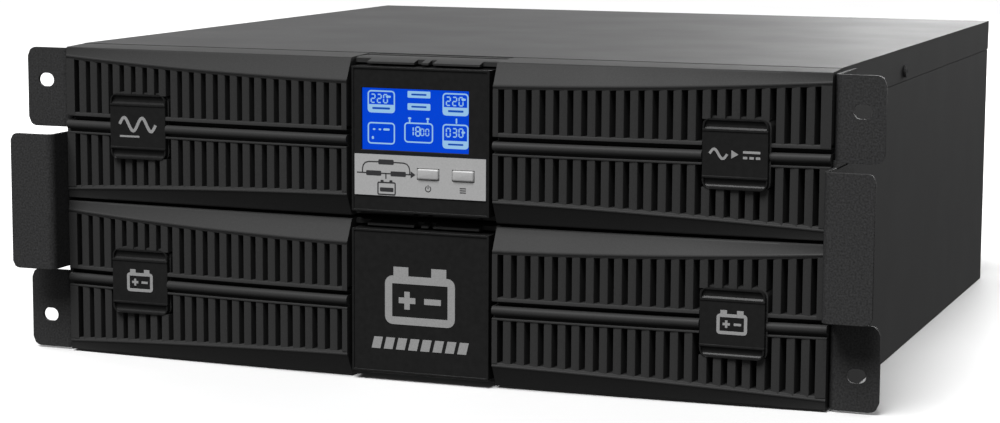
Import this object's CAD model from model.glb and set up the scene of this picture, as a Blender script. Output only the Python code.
import math

import bmesh
import bpy
from mathutils import Matrix, Vector


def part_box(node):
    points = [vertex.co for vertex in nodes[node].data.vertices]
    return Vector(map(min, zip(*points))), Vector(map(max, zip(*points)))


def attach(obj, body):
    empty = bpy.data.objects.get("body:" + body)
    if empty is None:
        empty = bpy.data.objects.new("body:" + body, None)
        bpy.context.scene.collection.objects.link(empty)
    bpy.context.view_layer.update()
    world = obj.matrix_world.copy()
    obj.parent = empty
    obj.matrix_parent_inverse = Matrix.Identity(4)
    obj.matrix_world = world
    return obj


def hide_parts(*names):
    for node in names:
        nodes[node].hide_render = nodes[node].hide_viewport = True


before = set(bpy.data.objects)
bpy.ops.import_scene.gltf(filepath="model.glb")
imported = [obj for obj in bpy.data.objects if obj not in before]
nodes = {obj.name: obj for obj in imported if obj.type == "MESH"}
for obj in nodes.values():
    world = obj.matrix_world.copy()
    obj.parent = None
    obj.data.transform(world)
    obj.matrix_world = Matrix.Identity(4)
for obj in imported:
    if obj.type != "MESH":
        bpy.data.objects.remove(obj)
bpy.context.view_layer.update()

# ---- sizes read from the frame ----
MM = 0.001
HANDLE_REACH = 20.0
DATUM_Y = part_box("right_rack_ear")[0].y / MM + HANDLE_REACH


def node_box(name):
    """The lowest and highest corner of a CAD node, in millimetres of the datum."""
    low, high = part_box(name)
    shift = Vector((0, DATUM_Y, 0))
    return low / MM - shift, high / MM - shift


BEZEL_LOW, BEZEL_HIGH = node_box("battery_bezel")
HALF_WIDTH = BEZEL_HIGH.x
BAY = node_box("ups_bezel")[0].z - BEZEL_LOW.z
MIDDLE = BAY / 2
BACK = BEZEL_HIGH.y
MODULE_LOW, MODULE_HIGH = node_box("emblem_cover")

# ---- the bezel's form: depths are in front of the datum, and each bow is added at the middle ----
END_DEPTH = 3.3
BOW = 11.6
RIDGE_DEPTH = 2.5
RIDGE_BOW = 5.5
RIDGE_DROP = 0.9
EDGE_DROP = 6.0
EDGE_BOW = 7.1
RECESS_HALF = 41.0
SLOT_FIRST = 45.4
SLOT_PITCH = 7.4
SLOT_COUNT = 23
SLOT_WIDTH = 3.0
SLOT_NEAR_MIDDLE = 6.0
SLOT_MARGIN = 1.6
POST_INSET = 0.3
LEDGE_FALL = 1.5
BAR_SET_BACK = 0.4
GROOVE_DEPTH = 8.0
BADGE_GAP = 0.7
BEAD_RADIUS = 2.35
BEAD_SET_BACK = 1.4
BEAD_DROP = 0.9


def bow_at(x):
    """The share of the bow at x: 1 in the middle and 0 at both ends."""
    return 1 - (x / HALF_WIDTH) ** 2


def front_y(x):
    """The front of the bars."""
    return -(END_DEPTH + BOW * bow_at(x))


def ridge_y(x):
    """The front of the upper and lower ridge, which lies further back."""
    return -(RIDGE_DEPTH + RIDGE_BOW * bow_at(x))


def chin_edge(x):
    """The height at which the chin meets the land below the slots."""
    return EDGE_DROP + EDGE_BOW * bow_at(x)


def brow_edge(x):
    """The height at which the brow meets the land above the slots."""
    return BAY - chin_edge(x)


# ---- material nodes ----
def node(tree, kind, **settings):
    """Adds a node; each setting goes to the input of that name, or else to the node itself."""
    made = tree.nodes.new(kind)
    for key, value in settings.items():
        if key in made.inputs:
            made.inputs[key].default_value = value
        else:
            setattr(made, key, value)
    return made


def noise(tree, scale, detail=3.0, stretch=None):
    """Noise in the object's own coordinates, scale in cycles per metre."""
    where = node(tree, "ShaderNodeTexCoord")
    made = node(tree, "ShaderNodeTexNoise", Scale=scale, Detail=detail)
    source = where.outputs["Object"]
    if stretch:
        mapping = node(tree, "ShaderNodeMapping", Scale=stretch)
        tree.links.new(source, mapping.inputs["Vector"])
        source = mapping.outputs["Vector"]
    tree.links.new(source, made.inputs["Vector"])
    return made.outputs["Fac"]


def spread(tree, factor, low, high):
    """Maps a factor between 0 and 1 to the range low to high."""
    made = node(tree, "ShaderNodeMapRange")
    tree.links.new(factor, made.inputs["Value"])
    made.inputs["From Min"].default_value = 0.3
    made.inputs["From Max"].default_value = 0.7
    made.inputs["To Min"].default_value = low
    made.inputs["To Max"].default_value = high
    return made.outputs["Result"]


def grey(value):
    """A neutral colour."""
    return (value, value, value)


def surface(name, color, roughness, metallic=0.0, specular=0.5):
    """A new material, with its tree and its shader ready to extend."""
    made = bpy.data.materials.new(name)
    made.use_nodes = True
    tree = made.node_tree
    shader = tree.nodes["Principled BSDF"]
    shader.inputs["Base Color"].default_value = (*color, 1)
    shader.inputs["Roughness"].default_value = roughness
    shader.inputs["Metallic"].default_value = metallic
    shader.inputs["Specular IOR Level"].default_value = specular
    return made, tree, shader


def shade_color(tree, shader, factor, dark, light):
    """Paints the surface between two colours by a factor."""
    mix = node(tree, "ShaderNodeMix", data_type="RGBA")
    dark_socket, light_socket = [socket for socket in mix.inputs if socket.type == "RGBA"]
    dark_socket.default_value = (*dark, 1)
    light_socket.default_value = (*light, 1)
    tree.links.new(factor, mix.inputs["Factor"])
    painted = [socket for socket in mix.outputs if socket.type == "RGBA"][0]
    tree.links.new(painted, shader.inputs["Base Color"])


def bump(tree, shader, height, strength, distance_mm):
    """Lets a height factor tilt the surface."""
    made = node(tree, "ShaderNodeBump", Strength=strength, Distance=distance_mm * MM)
    tree.links.new(height, made.inputs["Height"])
    tree.links.new(made.outputs["Normal"], shader.inputs["Normal"])


def grained(name, dark, light, roughness, grain_mm, depth_mm, metallic=0.0, specular=0.5, blotch_mm=60.0):
    """A paint or moulded plastic with fine grain: bump and colour follow the grain, and the gloss
    drifts slowly over the surface."""
    made, tree, shader = surface(name, light, roughness, metallic, specular)
    grain = noise(tree, 1000.0 / grain_mm)
    blotch = noise(tree, 1000.0 / blotch_mm, 2.0)
    shade_color(tree, shader, spread(tree, grain, 0.0, 1.0), dark, light)
    tree.links.new(spread(tree, blotch, roughness - 0.02, roughness + 0.03), shader.inputs["Roughness"])
    bump(tree, shader, grain, 0.6, depth_mm)
    return made


def glowing(name, color, strength, roughness=0.4):
    """A lit display layer: its own light, and hardly any gloss."""
    made, tree, shader = surface(name, (0.001, 0.001, 0.002), roughness, 0.0, 0.05)
    shader.inputs["Emission Color"].default_value = (*color, 1)
    shader.inputs["Emission Strength"].default_value = strength
    drift = noise(tree, 40.0, 1.0)
    tree.links.new(spread(tree, drift, roughness - 0.03, roughness + 0.05), shader.inputs["Roughness"])
    return made


def clear_window():
    """A thin clear cover: nearly all light passes, with a faint smeared gloss."""
    made, tree, shader = surface("clear_window", (0.004, 0.004, 0.005), 0.06, 0.0, 0.15)
    shader.inputs["Alpha"].default_value = 0.05
    smear = noise(tree, 60.0, 2.0)
    tree.links.new(spread(tree, smear, 0.04, 0.10), shader.inputs["Roughness"])
    return made


def brushed(name, dark, light, roughness, stretch):
    """A metal with fine drawn lines, stretched along one direction."""
    made, tree, shader = surface(name, light, roughness, 0.9)
    lines = noise(tree, 300.0, 4.0, stretch)
    shade_color(tree, shader, spread(tree, lines, 0.0, 1.0), dark, light)
    tree.links.new(spread(tree, lines, roughness - 0.06, roughness + 0.08), shader.inputs["Roughness"])
    bump(tree, shader, lines, 0.15, 0.05)
    return made


CHASSIS = grained("chassis_powder", grey(0.024), (0.035, 0.035, 0.036), 0.52, 0.7, 0.05, specular=0.17)
EAR = grained("ear_powder", grey(0.020), (0.046, 0.046, 0.047), 0.60, 1.0, 0.12, specular=0.15)
GRILLE = grained("grille_plastic", grey(0.029), grey(0.037), 0.50, 0.6, 0.03, specular=0.10)
GLOSS = grained("gloss_black_plastic", grey(0.012), grey(0.015), 0.24, 3.0, 0.01, specular=0.12)
SOCKET = grained("socket_black_plastic", (0.010, 0.010, 0.011), (0.015, 0.015, 0.016), 0.42, 0.8, 0.03)
CASE = grained("case_grey_plastic", (0.030, 0.031, 0.034), (0.045, 0.047, 0.051), 0.55, 0.8, 0.05)
DARK = grained("dark_inside", grey(0.004), grey(0.006), 0.8, 1.0, 0.02)
SILVER = grained("silver_plastic", grey(0.42), grey(0.48), 0.42, 0.5, 0.02, metallic=0.1, specular=0.3)
PRINT = grained("light_grey_print", grey(0.27), grey(0.35), 0.5, 0.5, 0.01, specular=0.2)
INK = grained("dark_ink", (0.020, 0.020, 0.022), (0.032, 0.032, 0.034), 0.5, 0.5, 0.01)
ZINC = brushed("zinc_steel", (0.36, 0.37, 0.38), (0.55, 0.56, 0.57), 0.34, (1.0, 0.15, 1.0))
ALUMINIUM = brushed("sink_aluminium", (0.50, 0.51, 0.52), (0.68, 0.69, 0.70), 0.34, (1.0, 0.08, 1.0))
COPPER = brushed("winding_copper", (0.38, 0.14, 0.05), (0.60, 0.27, 0.11), 0.35, (0.2, 1.0, 1.0))
BRASS = brushed("contact_brass", (0.50, 0.36, 0.14), (0.68, 0.52, 0.24), 0.30, (1.0, 0.3, 1.0))
BOARD = grained("board_green", (0.012, 0.090, 0.034), (0.020, 0.120, 0.048), 0.38, 1.2, 0.02)
CAN = grained("capacitor_blue", (0.020, 0.034, 0.15), (0.030, 0.048, 0.20), 0.32, 1.2, 0.02)
RED = grained("lever_red", (0.28, 0.016, 0.012), (0.36, 0.024, 0.018), 0.35, 0.8, 0.02)
WHITE = grained("button_white", (0.60, 0.60, 0.57), (0.72, 0.72, 0.69), 0.40, 0.8, 0.02)
LCD_BLUE = glowing("lcd_backlight", (0.000, 0.060, 0.70), 1.0)
LCD_LIGHT = glowing("lcd_segment", (0.36, 0.64, 0.95), 0.9)
LCD_MARK = glowing("lcd_mark", (0.01, 0.10, 0.60), 0.8)
WINDOW = clear_window()


# ---- mesh building ----
class Build:
    """Gathers closed shapes, in millimetres of the datum, for one piece."""

    def __init__(self):
        self.points = []
        self.faces = []

    def add_rings(self, rings, closed):
        """The walls between neighbouring rings of equally many points."""
        start = len(self.points)
        count = len(rings[0])
        for ring in rings:
            self.points.extend(ring)
        for step in range(len(rings) - (0 if closed else 1)):
            base = start + step * count
            ahead = start + (step + 1) % len(rings) * count
            for index in range(count):
                after = (index + 1) % count
                self.faces.append((base + index, base + after, ahead + after, ahead + index))
        return start, count

    def loft(self, rings):
        """A closed skin through rings, with a cap on each end."""
        start, count = self.add_rings(rings, closed=False)
        last = start + (len(rings) - 1) * count
        self.faces.append(tuple(range(start, start + count)))
        self.faces.append(tuple(range(last, last + count)))

    def loop(self, rings):
        """A closed skin through rings whose last one joins the first."""
        self.add_rings(rings, closed=True)

    def box(self, low, high):
        """A box between its lowest and its highest corner."""
        ring = [(low[0], low[1]), (high[0], low[1]), (high[0], high[1]), (low[0], high[1])]
        self.loft([[(x, y, z) for x, y in ring] for z in (low[2], high[2])])

    def plate(self, outline, y0, y1):
        """A prism whose outline is drawn in x and z."""
        self.loft([[(x, y, z) for x, z in outline] for y in (y0, y1)])


def closed_mesh(name, shape):
    """The object of a Build, in metres of the frame, with its faces turned outward."""
    mesh = bpy.data.meshes.new(name)
    points = [(x * MM, (y + DATUM_Y) * MM, z * MM) for x, y, z in shape.points]
    mesh.from_pydata(points, [], shape.faces)
    work = bmesh.new()
    work.from_mesh(mesh)
    bmesh.ops.recalc_face_normals(work, faces=work.faces)
    work.to_mesh(mesh)
    work.free()
    piece = bpy.data.objects.new(name, mesh)
    bpy.context.scene.collection.objects.link(piece)
    return piece


SHARP_ANGLE = 35.0


def build(name, shape, material, body, replaced=(), bevel=0.0, segments=2, sharp=SHARP_ANGLE):
    """Makes one piece of a Build: its mesh, material, smooth shading, edge rounding and body."""
    piece = closed_mesh(name, shape)
    piece.data.materials.append(material)
    smooth(piece, sharp)
    if bevel:
        round_edges(piece, bevel, segments)
    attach(piece, body)
    if replaced:
        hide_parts(*replaced)
    return piece


def smooth(piece, angle=SHARP_ANGLE):
    """Shades smoothly, except across edges sharper than the angle in degrees."""
    mesh = piece.data
    mesh.polygons.foreach_set("use_smooth", [True] * len(mesh.polygons))
    mesh.set_sharp_from_angle(angle=math.radians(angle))


def round_edges(piece, width, segments=2, planar=False):
    """Rounds the sharp edges; planar first joins the flat triangles of a CAD node."""
    if planar:
        join = piece.modifiers.new("join_flats", "DECIMATE")
        join.decimate_type = "DISSOLVE"
        join.angle_limit = math.radians(1.0)
    bevel = piece.modifiers.new("rounding", "BEVEL")
    bevel.width = width * MM
    bevel.segments = segments
    bevel.limit_method = "ANGLE"
    bevel.angle_limit = math.radians(32)
    bevel.harden_normals = True
    bevel.use_clamp_overlap = True


def arc(center, radius, start, end, steps):
    """Points of an arc in a plane, angles in degrees."""
    turns = [math.radians(start + (end - start) * k / steps) for k in range(steps + 1)]
    return [(center[0] + radius * math.cos(a), center[1] + radius * math.sin(a)) for a in turns]


def rounded(u0, u1, v0, v1, radius, steps=5):
    """The outline of a rectangle with round corners."""
    return (arc((u1 - radius, v0 + radius), radius, -90, 0, steps)
            + arc((u1 - radius, v1 - radius), radius, 0, 90, steps)
            + arc((u0 + radius, v1 - radius), radius, 90, 180, steps)
            + arc((u0 + radius, v0 + radius), radius, 180, 270, steps))


def steps(start, end, count):
    """Evenly spaced numbers from start to end, count + 1 of them."""
    return [start + (end - start) * index / count for index in range(count + 1)]


# ---- bezels ----
def brow_section(x):
    """The upper strip's section in y and z: ridge, sloping brow, a fine rounded bead and the land
    above the slots."""
    face = front_y(x)
    ridge = ridge_y(x)
    edge = brow_edge(x)
    land = edge - SLOT_MARGIN
    top = BAY - RIDGE_DROP
    lean = (face - ridge) / (top - edge)
    back_edge = [(BACK, BAY - 0.2), (ridge + 1.2, top + 0.05), (ridge + 0.4, top - 0.05)]
    slope = [(ridge + 0.05 + 0.35 * lean, top - 0.35), (ridge + lean, top - 1.0),
             (face + 0.3 - 1.1 * lean, edge + 1.1)]
    bead = [(face + 0.12 - 0.8 * lean, edge + 0.75), (face, edge + 0.4), (face, edge - 0.2),
            (face + 0.25, edge - 0.55)]
    lip = [(face + 0.3, land + 0.3), (face + 0.45, land + 0.08), (face + 0.8, land), (BACK, land + LEDGE_FALL)]
    return back_edge + slope + bead + lip


def chin_section(x):
    """The lower strip's section: the brow's mirror image."""
    return [(y, BAY - z) for y, z in brow_section(x)]


def band_section(x):
    """The middle band's section: a deep groove above and a round bead below it."""
    face = front_y(x)
    top = MIDDLE + SLOT_NEAR_MIDDLE
    bottom = MIDDLE - SLOT_NEAR_MIDDLE
    groove_floor = face + GROOVE_DEPTH
    bead_z = MIDDLE - BEAD_DROP
    bead_y = face + BEAD_SET_BACK
    turns = [math.radians(angle) for angle in range(90, -76, -15)]
    upper_lip = [(BACK, top - LEDGE_FALL), (face + 0.7, top), (face + 0.35, top - 0.1),
                 (face + 0.2, top - 0.35), (face + 0.1, top - 1.9), (face + 0.3, top - 2.1)]
    groove = [(groove_floor, top - 2.3), (groove_floor, bead_z + BEAD_RADIUS)]
    bead = [(bead_y - BEAD_RADIUS * math.cos(turn), bead_z + BEAD_RADIUS * math.sin(turn)) for turn in turns]
    channel = [(face + 3.0, bead_z - BEAD_RADIUS), (face + 3.0, bottom + 1.3)]
    lower_lip = [(face + 0.3, bottom + 1.25), (face, bottom + 1.0), (face, bottom + 0.35),
                 (face + 0.35, bottom + 0.1), (face + 0.7, bottom), (BACK, bottom)]
    return upper_lip + groove + bead + channel + lower_lip


def add_strip(shape, section, x0, x1, height, count=44):
    """A strip along x whose section in y and z changes with x."""
    shape.loft([[(x, y, z + height) for y, z in section(x)] for x in steps(x0, x1, count)])


def add_bar(shape, x, z0, z1):
    """One upright bar of the grille: a flat face between two narrow rounded edges."""
    half = (SLOT_PITCH - SLOT_WIDTH) / 2
    face = front_y(x) + BAR_SET_BACK
    outline = [(-half, BACK), (-half, face + 0.4), (-half + 0.12, face + 0.14), (-half + 0.4, face),
               (half - 0.5, face), (half - 0.14, face + 0.16), (half, face + 0.5), (half, BACK)]
    shape.loft([[(x + u, v, z) for u, v in outline] for z in (z0, z1)])


def add_grille(shape, side, height, badge_box):
    """The bars of both rows on one side of the centre, which stop at the badge, and the posts that
    close the rows' ends."""
    lower = MIDDLE - SLOT_NEAR_MIDDLE + 0.2
    upper = MIDDLE + SLOT_NEAR_MIDDLE - LEDGE_FALL
    badge_low, badge_high = badge_box
    for index in range(SLOT_COUNT - 1):
        x = side * (SLOT_FIRST + (index + 0.5) * SLOT_PITCH)
        behind_badge = badge_low.x - BADGE_GAP < x < badge_high.x + BADGE_GAP
        top_start = badge_high.z - 0.5 if behind_badge else height + upper
        bottom_end = badge_low.z + 0.5 if behind_badge else height + lower
        add_bar(shape, x, top_start, height + brow_edge(x) - SLOT_MARGIN + POST_INSET)
        add_bar(shape, x, height + chin_edge(x) + SLOT_MARGIN - LEDGE_FALL, bottom_end)
    last = SLOT_FIRST + (SLOT_COUNT - 1) * SLOT_PITCH + SLOT_WIDTH / 2
    for near, far in ((RECESS_HALF, SLOT_FIRST - SLOT_WIDTH / 2), (last, HALF_WIDTH)):
        lower_row = (chin_edge(far) + SLOT_MARGIN - POST_INSET, lower)
        upper_row = (upper, brow_edge(far) - SLOT_MARGIN + POST_INSET)
        for low, high in (lower_row, upper_row):
            add_post(shape, side * near, side * far, height + low, height + high)


def add_post(shape, x0, x1, z0, z1):
    """The solid end of a row of slots, with a face that follows the bow."""
    rings = []
    for x in steps(x0, x1, 3):
        face = front_y(x) + 0.03
        rings.append([(x, face, z0), (x, BACK, z0), (x, BACK, z1), (x, face, z1)])
    shape.loft(rings)


CLIP_NOTCHES = ((-41.0, -32.0), (-5.6, -1.4), (2.4, 5.2), (31.0, 41.0))
LAND_TOP = 3.8
LAND_LIP = 1.0
LAND_SET_BACK = 0.6
NOTCH_DEPTH = 5.4
SLOPE_END = 0.5


def add_recess(shape, height):
    """The wall behind the centre module, and above and below the module a land that slopes to a
    thin lip with four notches."""
    wall = MODULE_HIGH.y + 1.0
    front = ridge_y(0) + LAND_SET_BACK
    notch = front + NOTCH_DEPTH
    shape.box((-RECESS_HALF - 1, wall, height + 0.4), (RECESS_HALF + 1, BACK, height + BAY - 0.5))
    edges = [-RECESS_HALF, *[x for notch_edges in CLIP_NOTCHES for x in notch_edges], RECESS_HALF]
    spans = [(x0, x1, front) for x0, x1 in zip(edges[::2], edges[1::2]) if x1 - x0 > 0.1]
    spans += [(x0, x1, notch) for x0, x1 in CLIP_NOTCHES]
    lip_edge = LAND_TOP - LAND_LIP
    for upper in (False, True):
        for x0, x1, y in spans:
            rise = (lip_edge - RIDGE_DROP) * (y - front) / (SLOPE_END - front)
            section = [(wall + 0.5, LAND_TOP), (y, LAND_TOP), (y, lip_edge - rise), (SLOPE_END, RIDGE_DROP),
                       (wall + 0.5, RIDGE_DROP)]
            if upper:
                section = [(v, BAY - z) for v, z in section]
            shape.loft([[(x, v, height + z) for v, z in section] for x in (x0, x1)])


def add_badge_pad(shape, box):
    """The plate behind a badge, a little larger than it, so that a dark gap runs round the badge."""
    low, high = box
    middle = (low.x + high.x) / 2
    outline = rounded(low.x - BADGE_GAP, high.x + BADGE_GAP, low.z - BADGE_GAP, high.z + BADGE_GAP, 4.6)
    shape.plate(outline, front_y(middle) + 1.6, BACK)


def bezel(name, height, badge_names):
    """One bezel as a single moulding; its middle bands stop at the badges."""
    shape = Build()
    for side, badge_name in zip((-1, 1), badge_names):
        badge_box = node_box(badge_name)
        near, far = sorted((abs(badge_box[0].x), abs(badge_box[1].x)))
        for section in (brow_section, chin_section):
            add_strip(shape, section, side * RECESS_HALF, side * HALF_WIDTH, height)
        add_strip(shape, band_section, side * RECESS_HALF, side * (near - 0.1), height, 24)
        add_strip(shape, band_section, side * (far + 0.1), side * HALF_WIDTH, height, 10)
        add_grille(shape, side, height, badge_box)
        add_badge_pad(shape, badge_box)
    add_recess(shape, height)
    body = "ups_front" if name.startswith("ups") else "battery_front"
    build(f"{name}_moulding", shape, GRILLE, body, [name])


bezel("battery_bezel", 0.0, ["battery_left_badge", "battery_right_badge"])
bezel("ups_bezel", BAY, ["ups_left_badge", "ups_right_badge"])


# ---- badges ----
BADGE_RADIUS = 4.0
CREASE_FROM_EDGE = 5.9
LIP_WIDTH = 0.9
LIP_BACK = 0.45
FIELD_BACK = 0.55
RIDGE_BACK = 0.15
COVE_DEPTH = 1.5
RIM_WIDTH = 0.9
RIM_BACK = 0.10


def badge_section(z, half):
    """How far a badge's face stands back at a height from its middle: a flat field, a crisp ridge,
    a cove and a lip along the edge."""
    reach = abs(z)
    crease = half - CREASE_FROM_EDGE
    cove_start = crease + 0.35
    cove_end = half - LIP_WIDTH
    if reach <= crease - 0.5:
        return FIELD_BACK
    if reach <= cove_start:
        return RIDGE_BACK
    if reach >= cove_end:
        return LIP_BACK
    share = (reach - cove_start) / (cove_end - cove_start)
    return LIP_BACK + COVE_DEPTH * math.sin(share * math.pi) ** 0.7


def badge_heights(half):
    """The heights at which the badge's section or its outline turns, measured from its middle."""
    crease = half - CREASE_FROM_EDGE
    across_crease = [crease + offset for offset in (-0.7, -0.45, 0.3, 0.6, 1.5, 2.9, 4.2)]
    start = half - BADGE_RADIUS
    corner = [start + BADGE_RADIUS * math.sin(math.radians(turn)) for turn in range(15, 91, 15)]
    upper = [*across_crease, half - 1.1, half - 0.8, *corner]
    return sorted({0.0, *upper, *[-mark for mark in upper]})


def badge(name, body, symbol):
    """A badge with round corners, coved ends and raised sides, and its printed symbol."""
    low, high = node_box(name)
    half = (high.z - low.z) / 2
    half_x = (high.x - low.x) / 2
    middle_x = (low.x + high.x) / 2
    middle_z = (low.z + high.z) / 2
    rows = []
    for z in badge_heights(half):
        over = max(0.0, abs(z) - (half - BADGE_RADIUS))
        inset = BADGE_RADIUS - math.sqrt(max(BADGE_RADIUS ** 2 - over ** 2, 0.0))
        width = max(half_x - inset, 0.05)
        rim = min(RIM_WIDTH, width / 3)
        face = low.y + badge_section(z, half)
        edge = min(face, low.y + FIELD_BACK) - RIM_BACK
        left = [(-width, high.y), (-width, edge + 0.5), (-width + 0.2, edge), (-width + rim, edge),
                (-width + rim + 0.3, face)]
        right = [(-u, y) for u, y in reversed(left)]
        rows.append([(middle_x + u, max(y, low.y), middle_z + z) for u, y in left + right])
    shape = Build()
    shape.loft(rows)
    build(f"{name}_tile", shape, GLOSS, body, [name], sharp=24.0)
    mark = Build()
    symbol(mark, middle_x, low.y + FIELD_BACK, middle_z)
    build(f"{name}_symbol", mark, PRINT, body)


INLAY = 0.22
PRINT_DEPTH = 0.3


def add_inlay(shape, outline, face, proud=INLAY):
    """A printed mark: a thin plate set half into the face at y = face."""
    shape.plate(outline, face - proud, face + PRINT_DEPTH)


def add_block(shape, x0, x1, z0, z1, face):
    """A printed rectangle."""
    shape.box((x0, face - INLAY, z0), (x1, face + PRINT_DEPTH, z1))


def add_path(shape, points, width, face, proud=INLAY, closed=False):
    """A printed line of even width along points in x and z, open with two ends or closed."""
    last = len(points) - 1
    rings = []
    for index, point in enumerate(points):
        before = points[index - 1 if closed else max(index - 1, 0)]
        after = points[(index + 1) % len(points) if closed else min(index + 1, last)]
        du = after[0] - before[0]
        dv = after[1] - before[1]
        half = width / 2 / math.hypot(du, dv)
        left = (point[0] - dv * half, point[1] + du * half)
        right = (point[0] + dv * half, point[1] - du * half)
        rings.append([(left[0], face - proud, left[1]), (right[0], face - proud, right[1]),
                      (right[0], face + PRINT_DEPTH, right[1]), (left[0], face + PRINT_DEPTH, left[1])])
    if closed:
        shape.loop(rings)
    else:
        shape.loft(rings)


def add_line(shape, start, end, width, face, proud=INLAY):
    """A straight printed line from start to end, in x and z."""
    add_path(shape, [start, end], width, face, proud)


def add_frame(shape, x0, x1, z0, z1, line, radius, face, proud=INLAY):
    """The outline of a rectangle with round corners, line wide."""
    half = line / 2
    outline = rounded(x0 + half, x1 - half, z0 + half, z1 - half, radius, 4)
    add_path(shape, outline, line, face, proud, True)


def battery_symbol(shape, x, face, z, scale=1.0):
    """A battery seen from the front: case, two terminals, a plus and a minus."""
    width = 7.95 * scale
    height = 4.9 * scale
    line = 1.65 * scale
    add_frame(shape, x - width, x + width, z - height - 0.6 * scale, z + height, line, 0.9 * scale, face)
    top = z + height
    for end in (-1, 1):
        middle = x + end * 4.3 * scale
        add_block(shape, middle - 1.7 * scale, middle + 1.7 * scale, top - 0.01, top + 1.9 * scale, face)
    thick = 0.62 * scale
    arm = 1.9 * scale
    row = z - 0.3 * scale
    plus, minus = x - 2.9 * scale, x + 2.9 * scale
    for center in (plus, minus):
        add_block(shape, center - arm, center + arm, row - thick, row + thick, face)
    add_block(shape, plus - thick, plus + thick, row - arm, row - thick, face)
    add_block(shape, plus - thick, plus + thick, row + thick, row + arm, face)


def sine_wave(x, z, length, height, waves, count):
    """Points of a sine wave that starts at x, around the height z."""
    shares = [index / count for index in range(count + 1)]
    return [(x + length * share, z + height * math.sin(2 * math.pi * waves * share)) for share in shares]


def wave_symbol(shape, x, face, z):
    """A sine wave over a plain bar."""
    add_path(shape, sine_wave(x - 11, z + 1.2, 22, 3.6, 2, 36), 1.7, face)
    add_line(shape, (x - 11, z - 5.4), (x + 1, z - 5.4), 1.0, face)


def supply_symbol(shape, x, face, z):
    """Direct current out of alternating current: a short wave, an arrow and a bar over dashes."""
    add_path(shape, sine_wave(x - 13, z, 9, 2.4, 1, 20), 1.3, face)
    add_inlay(shape, [(x - 1.8, z - 2.1), (x + 1.8, z), (x - 1.8, z + 2.1)], face)
    add_line(shape, (x + 4.2, z + 1.3), (x + 13, z + 1.3), 1.2, face)
    for index in range(3):
        start = x + 4.2 + index * 3.3
        add_line(shape, (start, z - 1.5), (start + 2.2, z - 1.5), 1.2, face)


badge("ups_left_badge", "ups_front", wave_symbol)
badge("ups_right_badge", "ups_front", supply_symbol)
badge("battery_left_badge", "battery_front", battery_symbol)
badge("battery_right_badge", "battery_front", battery_symbol)


# ---- centre modules ----
RIM = 1.3
FACE_INSET = 0.55
FACE_THICK = 1.6
FACE_OVERLAP = 0.4
CAP_ROUNDING = 0.35
LCD_LOW, LCD_HIGH = node_box("lcd_window")
PLATE_LOW, PLATE_HIGH = node_box("control_plate")
HOUSE_LOW, HOUSE_HIGH = node_box("display_housing")


def add_cells(shape, x_cuts, z_cuts, holes, y0, y1):
    """A slab cut into cells, without the cells whose middle lies in one of the holes; walls close
    every side, so the slab is one skin."""

    def solid(i, j):
        """Whether the cell lies in the slab and outside the holes."""
        if not (0 <= i < len(x_cuts) - 1 and 0 <= j < len(z_cuts) - 1):
            return False
        x = (x_cuts[i] + x_cuts[i + 1]) / 2
        z = (z_cuts[j] + z_cuts[j + 1]) / 2
        return not any(x0 < x < x1 and z0 < z < z1 for x0, x1, z0, z1 in holes)

    made = {}

    def point(i, j, y):
        """The number of the point where two cuts cross at a depth; each point is made once."""
        key = (i, j, y)
        if key not in made:
            made[key] = len(shape.points)
            shape.points.append((x_cuts[i], y, z_cuts[j]))
        return made[key]

    edges = ((-1, 0, (0, 0), (0, 1)), (1, 0, (1, 0), (1, 1)), (0, -1, (0, 0), (1, 0)), (0, 1, (0, 1), (1, 1)))
    for i in range(len(x_cuts) - 1):
        for j in range(len(z_cuts) - 1):
            if not solid(i, j):
                continue
            for y in (y0, y1):
                corners = ((i, j), (i + 1, j), (i + 1, j + 1), (i, j + 1))
                shape.faces.append(tuple(point(a, b, y) for a, b in corners))
            for di, dj, start, end in edges:
                if not solid(i + di, j + dj):
                    a, b = i + start[0], j + start[1]
                    c, d = i + end[0], j + end[1]
                    shape.faces.append((point(a, b, y0), point(c, d, y0), point(c, d, y1), point(a, b, y1)))


def add_module_shell(shape, low, high, holes):
    """A square cap: a raised rim round a face that is set back, walls behind it, open at the rear."""
    face = low.y + FACE_INSET
    face_x = sorted({low.x + FACE_OVERLAP, high.x - FACE_OVERLAP, *[x for hole in holes for x in hole[:2]]})
    face_z = sorted({low.z + FACE_OVERLAP, high.z - FACE_OVERLAP, *[z for hole in holes for z in hole[2:]]})
    add_cells(shape, face_x, face_z, holes, face, face + FACE_THICK)
    inner = [(low.x + RIM, high.x - RIM, low.z + RIM, high.z - RIM)]
    wall_x = [low.x, low.x + RIM, high.x - RIM, high.x]
    wall_z = [low.z, low.z + RIM, high.z - RIM, high.z]
    add_cells(shape, wall_x, wall_z, inner, low.y, high.y)


def hole_of(low, high, margin=0.25):
    """The opening for an inset piece, with a small gap round it."""
    return (low.x - margin, high.x + margin, low.z - margin, high.z + margin)


def display_housing():
    """The cap of the display module, open where the display and the control plate lie."""
    shape = Build()
    add_module_shell(shape, HOUSE_LOW, HOUSE_HIGH, [hole_of(LCD_LOW, LCD_HIGH), hole_of(PLATE_LOW, PLATE_HIGH)])
    build("display_housing_cap", shape, GLOSS, "display_module", ["display_housing"],
          CAP_ROUNDING, 3)


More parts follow.
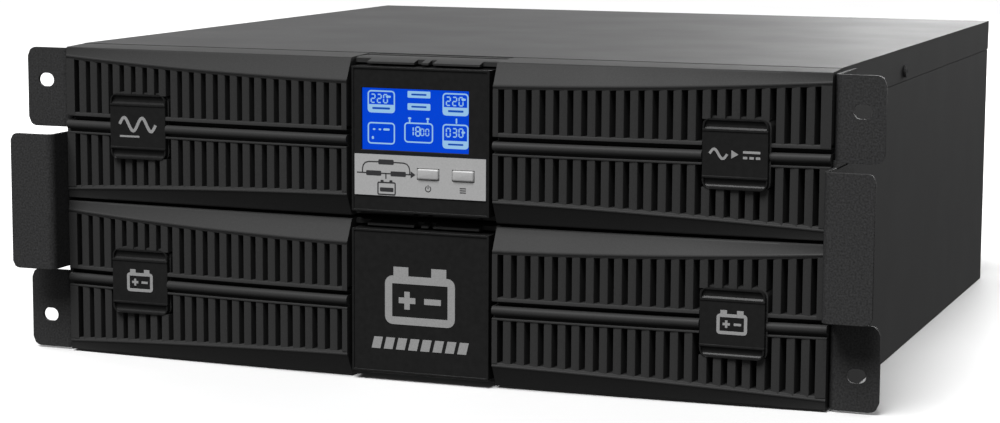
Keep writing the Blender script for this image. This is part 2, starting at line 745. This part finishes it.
def emblem_cover():
    """The cap of the battery bay with a battery symbol over a row of slanted level segments."""
    shape = Build()
    add_module_shell(shape, MODULE_LOW, MODULE_HIGH, [])
    build("emblem_cover_cap", shape, GLOSS, "emblem_module", ["emblem_cover"], CAP_ROUNDING, 3)
    mark = Build()
    face = MODULE_LOW.y + FACE_INSET
    middle = (MODULE_LOW.x + MODULE_HIGH.x) / 2
    battery_symbol(mark, middle, face, MODULE_LOW.z + 40.1, 2.49)
    low = MODULE_LOW.z + 12.9
    high = low + 6.2
    for index in range(8):
        left = middle - 27.5 + index * 6.95
        add_inlay(mark, [(left, low), (left + 5.0, low), (left + 6.5, high), (left + 1.5, high)], face)
    build("emblem_symbol", mark, PRINT, "emblem_module")


display_housing()
emblem_cover()

# ---- display ----
SEGMENTS = {
    "0": "abcdef", "1": "bc", "2": "abged", "3": "abgcd", "8": "abcdefg",
}


MARK_PROUD = 0.05
LABEL_PROUD = 0.10
PLATE_PROUD = 0.08
PLATE_LINE = 0.6


def add_digit(shape, digit, x, z, width, height, line, face):
    """A seven-segment digit with its lower left corner at x and z."""
    middle = z + height / 2
    gap = line * 0.35
    bars = {
        "a": ((x + gap, z + height), (x + width - gap, z + height)),
        "g": ((x + gap, middle), (x + width - gap, middle)),
        "d": ((x + gap, z), (x + width - gap, z)),
        "f": ((x, middle + gap), (x, z + height - gap)),
        "b": ((x + width, middle + gap), (x + width, z + height - gap)),
        "e": ((x, z + gap), (x, middle - gap)),
        "c": ((x + width, z + gap), (x + width, middle - gap)),
    }
    for key in SEGMENTS[digit]:
        add_line(shape, *bars[key], line, face, MARK_PROUD)


def lcd_point(u, v):
    """A place on the display, u to the right and v down, both from 0 to 1."""
    return (LCD_LOW.x + u * (LCD_HIGH.x - LCD_LOW.x), LCD_HIGH.z - v * (LCD_HIGH.z - LCD_LOW.z))


def lcd_outline(place, radius, count):
    """A round-cornered field of the display, given by its left, right, upper and lower place."""
    left, right, upper, lower = place
    x0, z1 = lcd_point(left, upper)
    x1, z0 = lcd_point(right, lower)
    return rounded(x0, x1, z0, z1, radius, count)


def add_lcd_number(shape, text, u, v, height, face):
    """Digits in a row, the first one's lower left corner at u and v."""
    x, z = lcd_point(u, v)
    for index, digit in enumerate(text):
        add_digit(shape, digit, x + index * height * 0.82, z, height * 0.5, height, height * 0.15, face)


LCD_FRAMES = (
    (0.047, 0.295, 0.045, 0.39), (0.755, 0.985, 0.045, 0.39), (0.047, 0.295, 0.57, 0.905),
    (0.395, 0.655, 0.55, 0.86), (0.755, 0.985, 0.55, 0.93),
)
LCD_BARS = (
    (0.047, 0.295, 0.265, 0.39), (0.755, 0.985, 0.265, 0.39), (0.755, 0.985, 0.81, 0.93),
    (0.42, 0.635, 0.025, 0.135), (0.42, 0.635, 0.225, 0.335), (0.425, 0.455, 0.455, 0.49),
    (0.595, 0.625, 0.455, 0.49), (0.433, 0.447, 0.49, 0.55), (0.603, 0.617, 0.49, 0.55),
    (0.872, 0.886, 0.44, 0.53), (0.215, 0.262, 0.115, 0.15), (0.925, 0.965, 0.115, 0.15),
    (0.09, 0.115, 0.66, 0.69), (0.145, 0.17, 0.66, 0.69), (0.19, 0.25, 0.655, 0.69),
    (0.925, 0.96, 0.65, 0.685), (0.08, 0.10, 0.79, 0.84),
)
LCD_LABELS = (
    (0.085, 0.255, 0.31, 0.345), (0.80, 0.945, 0.31, 0.345), (0.80, 0.945, 0.855, 0.885),
    (0.455, 0.60, 0.065, 0.095), (0.455, 0.60, 0.265, 0.295),
)
LCD_NUMBERS = (
    ("220", 0.075, 0.235, 4.3), ("220", 0.785, 0.235, 4.3), ("18", 0.435, 0.755, 4.6),
    ("00", 0.545, 0.745, 3.4), ("030", 0.785, 0.745, 4.3),
)


def display_graphics():
    """What the display shows: lit frames, bars and digits, and dark marks on the lit bars."""
    face = node_box("lcd_panel")[0].y
    light = Build()
    for place in LCD_FRAMES:
        add_path(light, lcd_outline(place, 1.6, 4), 0.75, face, MARK_PROUD, True)
    for place in LCD_BARS:
        add_inlay(light, lcd_outline(place, 0.5, 3), face, MARK_PROUD)
    for text, u, v, height in LCD_NUMBERS:
        add_lcd_number(light, text, u, v, height, face)
    build("lcd_segments", light, LCD_LIGHT, "display_module")
    marks = Build()
    for place in LCD_LABELS:
        add_inlay(marks, lcd_outline(place, 0.5, 3), face, LABEL_PROUD)
    build("lcd_label_marks", marks, LCD_MARK, "display_module")


def plate_point(u, v):
    """A place on the control plate, u to the right and v down, both from 0 to 1."""
    return (PLATE_LOW.x + u * (PLATE_HIGH.x - PLATE_LOW.x), PLATE_HIGH.z - v * (PLATE_HIGH.z - PLATE_LOW.z))


PLATE_BOXES = (
    (0.090, 0.206, 0.395, 0.515), (0.278, 0.395, 0.395, 0.515), (0.184, 0.302, 0.115, 0.235),
    (0.196, 0.300, 0.80, 0.90), (0.200, 0.225, 0.615, 0.66), (0.268, 0.293, 0.615, 0.66),
)
PLATE_LINES = (
    ((0.018, 0.455), (0.090, 0.455)), ((0.206, 0.455), (0.278, 0.455)), ((0.395, 0.455), (0.435, 0.455)),
    ((0.242, 0.455), (0.242, 0.585)),
)
BYPASS_MIDDLE = 0.243
BYPASS = ((0.182, 0.455), (0.182, 0.36), (0.176, 0.27), (0.160, 0.205), (0.135, 0.18), (0.059, 0.175))


def control_graphics():
    """The plate's line diagram: in, converter, inverter, out, a bypass round them, and the battery;
    and a symbol under each button."""
    face = PLATE_LOW.y
    ink = Build()
    for left, right, upper, lower in PLATE_BOXES:
        x0, z1 = plate_point(left, upper)
        x1, z0 = plate_point(right, lower)
        add_inlay(ink, rounded(x0, x1, z0, z1, 0.5, 3), face, PLATE_PROUD)
    for start, end in PLATE_LINES:
        add_line(ink, plate_point(*start), plate_point(*end), PLATE_LINE, face, PLATE_PROUD)
    for side in (-1, 1):
        reach = [plate_point(BYPASS_MIDDLE + side * away, v) for away, v in BYPASS]
        add_path(ink, reach, PLATE_LINE, face, PLATE_PROUD)
    tip = [plate_point(u, v) for u, v in ((0.432, 0.37), (0.468, 0.455), (0.432, 0.54))]
    add_inlay(ink, tip, face, PLATE_PROUD)
    x0, z1 = plate_point(0.176, 0.66)
    x1, z0 = plate_point(0.318, 0.985)
    add_frame(ink, x0, x1, z0, z1, 0.7, PLATE_LINE, face, PLATE_PROUD)
    x, z = plate_point(0.565, 0.78)
    add_path(ink, arc((x, z), 1.5, 120, 420, 14), 0.45, face, PLATE_PROUD)
    add_line(ink, (x, z), (x, z + 2.0), 0.45, face, PLATE_PROUD)
    x, z = plate_point(0.828, 0.78)
    for row in (z - 1.1, z, z + 1.1):
        add_line(ink, (x - 1.7, row), (x + 1.7, row), 0.5, face, PLATE_PROUD)
    build("control_plate_print", ink, INK, "display_module")


CAP_WIDTH = 12.0
CAP_HEIGHT = 5.6
CAP_CROWN = ((0.9, 0.0), (0.45, 0.12), (0.15, 0.45), (0.0, 0.9))
WELL_MARGIN = 0.42


def cap_outline(x, z, grow, radius):
    """The outline of a button's cap around x and z, larger by grow on each side."""
    half_width = CAP_WIDTH / 2 + grow
    half_height = CAP_HEIGHT / 2 + grow
    return rounded(x - half_width, x + half_width, z - half_height, z + half_height, radius, 4)


def push_button(name):
    """A button with a crowned cap, and the dark gap round it."""
    low, high = node_box(name)
    x = (low.x + high.x) / 2
    z = (low.z + high.z) / 2
    shape = Build()
    rings = []
    for inset, back in CAP_CROWN:
        outline = cap_outline(x, z, -inset, max(0.8 - inset * 0.3, 0.3))
        rings.append([(u, low.y + back, v) for u, v in outline])
    rings.append([(u, high.y - 3.0, v) for u, v in cap_outline(x, z, 0.0, 0.8)])
    shape.loft(rings)
    build(f"{name}_cap", shape, SILVER, name, [name])
    shadow = Build()
    shadow.plate(cap_outline(x, z, WELL_MARGIN, 0.9), PLATE_HIGH.y, PLATE_HIGH.y + 0.2)
    build(f"{name}_well", shadow, DARK, "display_module")


display_graphics()
control_graphics()
push_button("power_button")
push_button("function_button")


# ---- rack ears ----
EAR_THICK = 2.0
BEND = 3.2
WING_HEIGHT = 43.8
HANDLE_BOTTOM = 48.0
HANDLE_TOP = 123.0
RACK_SLOT_X = 229.8
RACK_SLOT_FROM_EDGE = 18
RACK_SLOT_HALF_WIDTH = 4.85
RACK_SLOT_HALF_HEIGHT = 3.75
WALL = HALF_WIDTH + 0.3
WEB_FRONT = 1.0
WEB_BACK = 40.0


def ear_path(side, front, outer):
    """The middle line of the bent sheet in x and y: along the chassis side, round the bend, out."""
    wall = WALL + EAR_THICK / 2
    lead = front + EAR_THICK / 2
    bend = arc((wall + BEND, lead + BEND), BEND, 180, 270, 6)
    out = [(x, lead) for x in steps(wall + BEND + 1, outer, 14)]
    back = [(wall, y) for y in steps(WEB_BACK, lead + BEND + 0.5, 4)]
    return [(side * x, y) for x, y in back + bend + out]


def add_ear_sheet(shape, side, front, outer, z0, z1, radius):
    """A bent sheet whose two outer corners are round."""
    path = ear_path(side, front, outer)
    rings = []
    for index, (x, y) in enumerate(path):
        before = path[max(index - 1, 0)]
        after = path[min(index + 1, len(path) - 1)]
        along = Vector((after[0] - before[0], after[1] - before[1])).normalized()
        across = Vector((-along.y, along.x)) * EAR_THICK / 2
        over = max(0.0, abs(x) - (outer - radius))
        inset = radius - math.sqrt(max(radius ** 2 - over ** 2, 0.0))
        low, high = z0 + inset, z1 - inset
        rings.append([(x - across.x, y - across.y, low), (x + across.x, y + across.y, low),
                      (x + across.x, y + across.y, high), (x - across.x, y - across.y, high)])
    shape.loft(rings)


def slot_cutter(x, z, front):
    """A block in the shape of the oval rack slot, long enough to cut through the wing."""
    shape = Build()
    outline = rounded(x - RACK_SLOT_HALF_WIDTH, x + RACK_SLOT_HALF_WIDTH, z - RACK_SLOT_HALF_HEIGHT,
                      z + RACK_SLOT_HALF_HEIGHT, RACK_SLOT_HALF_HEIGHT - 0.01, 8)
    shape.plate(outline, front - 6, front + 8)
    return closed_mesh("slot_cutter", shape)


def apply_modifiers(piece):
    """Replaces the piece's mesh with what its modifiers make of it."""
    depsgraph = bpy.context.evaluated_depsgraph_get()
    made = bpy.data.meshes.new_from_object(piece.evaluated_get(depsgraph))
    piece.modifiers.clear()
    piece.data = made


def cut_slot(piece, cutter):
    """Cuts the cutter out of the piece and removes it."""
    cut = piece.modifiers.new("slot", "BOOLEAN")
    cut.object = cutter
    cut.solver = "EXACT"
    apply_modifiers(piece)
    bpy.data.objects.remove(cutter)


def rack_ear(side_name, side):
    """One ear: two wings with a rack slot each, the pull handle, and the webs that join them."""
    low, high = node_box(f"{side_name}_rack_ear")
    outer = max(abs(low.x), abs(high.x))
    lower_top = low.z + WING_HEIGHT
    upper_bottom = high.z - WING_HEIGHT
    parts = (
        ("lower_wing", 0.0, low.z, lower_top, 5.0, low.z + RACK_SLOT_FROM_EDGE),
        ("upper_wing", 0.0, upper_bottom, high.z, 5.0, high.z - RACK_SLOT_FROM_EDGE),
        ("handle", low.y, HANDLE_BOTTOM, HANDLE_TOP, 4.0, None),
    )
    for part, front, z0, z1, radius, slot_z in parts:
        shape = Build()
        add_ear_sheet(shape, side, front, outer, z0, z1, radius)
        replaced = [f"{side_name}_rack_ear"] if part == "handle" else ()
        piece = build(f"{side_name}_ear_{part}", shape, EAR, "chassis", replaced)
        if slot_z is not None:
            cut_slot(piece, slot_cutter(side * RACK_SLOT_X, slot_z, front))
        smooth(piece)
        round_edges(piece, 0.35, 2)
    web = Build()
    near, far = sorted((side * WALL, side * (WALL + EAR_THICK)))
    for z0, z1 in ((lower_top, HANDLE_BOTTOM), (HANDLE_TOP, upper_bottom)):
        web.box((near, WEB_FRONT, z0 - 1), (far, WEB_BACK, z1 + 1))
    build(f"{side_name}_ear_web", web, EAR, "chassis")


rack_ear("left", -1)
rack_ear("right", 1)

# ---- carried-over CAD nodes: material and rounded edges ----
FINISHES = (
    (CHASSIS, 0.5, ["chassis_tray"]),
    (CHASSIS, 0.7, ["top_cover"]),
    (DARK, 0.0, ["front_panel"]),
    (CHASSIS, 0.2, ["rear_panel"]),
    (ZINC, 0.2, ["mid_shelf"]),
    (CHASSIS, 0.3, ["left_cover_screw", "right_cover_screw"]),
    (ZINC, 0.3, [f"{side}_ear_screw_{number}" for side in ("left", "right") for number in (1, 2)]),
    (WINDOW, 0.0, ["lcd_window"]),
    (LCD_BLUE, 0.0, ["lcd_panel"]),
    (SILVER, 0.08, ["control_plate"]),
    (BOARD, 0.1, ["display_board", "main_board"]),
    (ALUMINIUM, 0.2, ["rectifier_heat_sink", "inverter_heat_sink"]),
    (COPPER, 0.8, ["input_choke", "output_choke"]),
    (COPPER, 0.6, ["charger_transformer"]),
    (CAN, 0.8, [f"bus_capacitor_{number}" for number in (1, 2, 3)]),
    (CASE, 0.8, [f"battery_{number}" for number in range(1, 7)]),
    (ZINC, 0.3, ["battery_hold_down"]),
    (SOCKET, 0.5, ["left_fan_frame", "right_fan_frame"]),
    (CASE, 0.3, ["left_fan_rotor", "right_fan_rotor"]),
    (ZINC, 0.3, ["left_fan_guard", "right_fan_guard"]),
    (SOCKET, 0.3, ["inlet_socket", "outlet_block", "input_breaker"]),
    (WHITE, 0.5, ["breaker_button"]),
    (SOCKET, 0.15, ["usb_port"]),
    (ZINC, 0.25, ["serial_port"]),
    (CHASSIS, 0.3, ["card_slot_cover"]),
    (SOCKET, 0.5, ["battery_breaker"]),
    (RED, 0.6, ["battery_breaker_lever"]),
    (CASE, 0.5, ["battery_connector"]),
    (BRASS, 0.3, ["ground_stud"]),
)


def finish_nodes():
    """Gives each carried-over node its material and, where it shows, rounded edges."""
    for material, rounding, names in FINISHES:
        for name in names:
            piece = nodes[name]
            piece.data.materials.clear()
            piece.data.materials.append(material)
            if rounding:
                smooth(piece)
                round_edges(piece, rounding, 2, planar=True)


finish_nodes()

# ---- floor, lights and camera ----
FLOOR_HALF = 6.0
FLOOR_LEVEL = -0.0002


def stage_floor():
    """A white floor just under the unit that glossy and diffuse rays don't see."""
    mesh = bpy.data.meshes.new("floor")
    corners = ((-1, -1), (1, -1), (1, 1), (-1, 1))
    points = [(x * FLOOR_HALF, y * FLOOR_HALF, FLOOR_LEVEL) for x, y in corners]
    mesh.from_pydata(points, [], [(0, 1, 2, 3)])
    floor = bpy.data.objects.new("floor", mesh)
    bpy.context.scene.collection.objects.link(floor)
    made, tree, shader = surface("floor_white", (0.82, 0.82, 0.82), 0.7)
    shade_color(tree, shader, spread(tree, noise(tree, 3.0), 0.0, 1.0), (0.80, 0.80, 0.80), (0.84, 0.84, 0.84))
    mesh.materials.append(made)
    floor.visible_glossy = False
    floor.visible_diffuse = False


def area_light(name, place, target, size, power):
    """A rectangular softbox at a place, turned to a target."""
    data = bpy.data.lights.new(name, "AREA")
    data.shape = "RECTANGLE"
    data.size, data.size_y = size
    data.energy = power
    light = bpy.data.objects.new(name, data)
    bpy.context.scene.collection.objects.link(light)
    light.location = place
    light.rotation_euler = (Vector(target) - Vector(place)).to_track_quat("-Z", "Y").to_euler()


def soft_sun(name, direction, strength, width):
    """Even light over the whole floor; width is the soft source's angle in degrees."""
    data = bpy.data.lights.new(name, "SUN")
    data.energy = strength
    data.angle = math.radians(width)
    light = bpy.data.objects.new(name, data)
    bpy.context.scene.collection.objects.link(light)
    light.rotation_euler = Vector(direction).to_track_quat("-Z", "Y").to_euler()


def studio():
    """Weak even light from all round, seen as a pale backdrop, with a soft sun and softboxes."""
    world = bpy.data.worlds.new("studio")
    bpy.context.scene.world = world
    world.use_nodes = True
    tree = world.node_tree
    lighting = tree.nodes["Background"]
    lighting.inputs["Color"].default_value = (1.0, 1.0, 1.0, 1)
    lighting.inputs["Strength"].default_value = 0.19
    backdrop = node(tree, "ShaderNodeBackground", Strength=1.0)
    path = node(tree, "ShaderNodeLightPath")
    mix = node(tree, "ShaderNodeMixShader")
    tree.links.new(path.outputs["Is Camera Ray"], mix.inputs["Fac"])
    tree.links.new(lighting.outputs["Background"], mix.inputs[1])
    tree.links.new(backdrop.outputs["Background"], mix.inputs[2])
    tree.links.new(mix.outputs["Shader"], tree.nodes["World Output"].inputs["Surface"])
    backdrop.inputs["Color"].default_value = (0.92, 0.92, 0.92, 1)
    soft_sun("overhead", (0.12, 0.60, -1.0), 4.2, 34)
    area_light("side_softbox", (1.6, 1.0, 0.42), (0.2, 0, 0.1), (1.0, 0.6), 2)
    area_light("left_softbox", (-1.8, 0.9, 0.8), (0, 0, 0.1), (1.2, 0.8), 14)
    area_light("back_softbox", (-0.3, 2.8, 1.3), (0, 0.2, 0.1), (3.4, 1.2), 11)
    area_light("rear_softbox", (0.35, 2.5, 0.95), (0, 0.2, 0.1), (1.6, 1.0), 36)
    bpy.context.scene.view_settings.view_transform = "Standard"


CAMERA_PLACE = (490.3, -1193.8, 267.8)
CAMERA_FORWARD = (-0.34908, 0.92724, -0.13550)
CAMERA_UP = (-0.05258, 0.12499, 0.99076)
SENSOR_WIDTH = 36.0
LENS = 89.12
SHIFT_X = -0.0019
SHIFT_Y = -0.003


def camera():
    """The camera in front of the unit, a little to the right and above."""
    data = bpy.data.cameras.new("camera")
    data.sensor_width = SENSOR_WIDTH
    data.lens = LENS
    data.shift_x = SHIFT_X
    data.shift_y = SHIFT_Y
    made = bpy.data.objects.new("camera", data)
    bpy.context.scene.collection.objects.link(made)
    back = -Vector(CAMERA_FORWARD).normalized()
    up = Vector(CAMERA_UP).normalized()
    right = up.cross(back)
    turn = Matrix((right, up, back)).transposed().to_4x4()
    x, y, z = CAMERA_PLACE
    made.matrix_world = Matrix.Translation((x * MM, (y + DATUM_Y) * MM, z * MM)) @ turn
    bpy.context.scene.camera = made


stage_floor()
studio()
camera()
